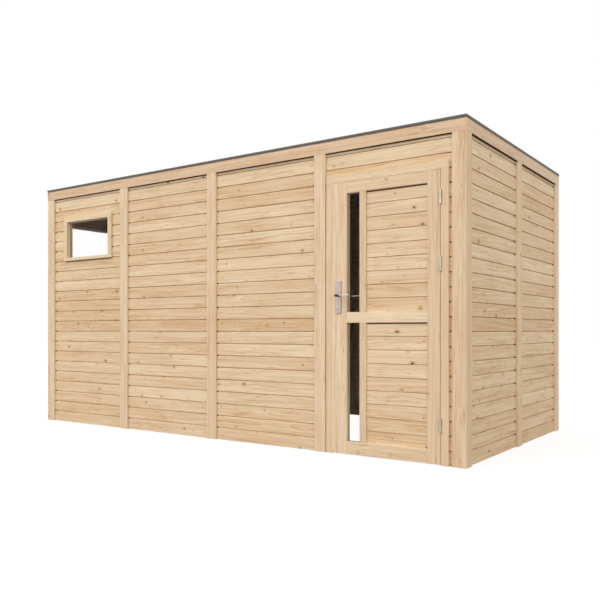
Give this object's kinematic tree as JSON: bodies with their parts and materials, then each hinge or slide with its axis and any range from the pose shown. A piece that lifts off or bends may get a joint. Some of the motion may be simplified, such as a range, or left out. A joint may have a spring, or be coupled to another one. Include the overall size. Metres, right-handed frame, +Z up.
{
  "type": "flat-roofed garden shed",
  "caption": "Flat-roofed timber garden shed: horizontal board walls between square posts, a part-glazed framed door with lever handle and small high windows.",
  "frame": {"origin": "on the ground under the middle of the whole footprint, the door lever that stands out in front included", "axes": "+X right along the front, +Y from the front to the back, +Z up"},
  "size_m": [4.119, 2.161, 2.169],
  "materials": {
    "board_timber": "planed, untreated",
    "post_timber": "planed, untreated",
    "fascia_timber": "planed, untreated",
    "door_timber": "planed, untreated",
    "joinery_timber": "planed, untreated",
    "framing_timber": "planed, untreated",
    "glass": "clear",
    "roofing": "matt sheet",
    "edge_trim": "satin grey",
    "zinc_steel": "zinc plated",
    "stainless": "brushed"
  },
  "bodies": {
    "building": {"back_fascia": "fascia_timber", "back_posts": "post_timber", "back_wall_boards": "board_timber", "back_wall_frame": "framing_timber", "corner_posts": "post_timber", "door_casing": "joinery_timber", "door_frame": "joinery_timber", "door_stops": "joinery_timber", "front_fascia": "fascia_timber", "front_posts": "post_timber", "front_wall_bay_2": "board_timber", "front_wall_bay_3": "board_timber", "front_wall_door_strips": "board_timber", "front_wall_frame": "framing_timber", "front_wall_over_door": "board_timber", "front_wall_window_bay": "board_timber", "front_window_casing": "joinery_timber", "front_window_frame": "joinery_timber", "front_window_glass": "glass", "hinge_frame_knuckles": "zinc_steel", "left_fascia": "fascia_timber", "left_wall_bay_2": "board_timber", "left_wall_frame": "framing_timber", "left_wall_window_bay": "board_timber", "left_window_casing": "joinery_timber", "left_window_frame": "joinery_timber", "left_window_glass": "glass", "right_fascia": "fascia_timber", "right_wall_boards": "board_timber", "right_wall_frame": "framing_timber", "roof_deck": "framing_timber", "roof_edge_trim": "edge_trim", "roof_joists": "framing_timber", "roof_membrane": "roofing", "side_posts": "post_timber"},
    "door": {"door_lock_stile": "door_timber", "door_hinge_stile": "door_timber", "door_rails": "door_timber", "door_mullions": "door_timber", "door_boards": "door_timber", "door_glass": "glass", "door_lock": "stainless", "hinge_leaf_knuckles": "zinc_steel", "door_handle_plates": "stainless"},
    "handle": {"handle_outer_lever": "stainless", "handle_inner_lever": "stainless", "handle_spindle": "stainless"}
  },
  "joints": [
    {"name": "door_swing", "type": "hinge", "parent": "building", "child": "door", "pos_m": [1.889, -1.025, 1], "axis": [0, 0, 1], "range_deg": [0, 110]},
    {"name": "handle_turn", "type": "hinge", "parent": "door", "child": "handle", "pos_m": [1.1485, -1.017, 1.082], "axis": [0, 1, 0], "range_deg": [0, 40], "stiffness_Nm_per_rad": 1.2, "springref_deg": -28.65}
  ]
}
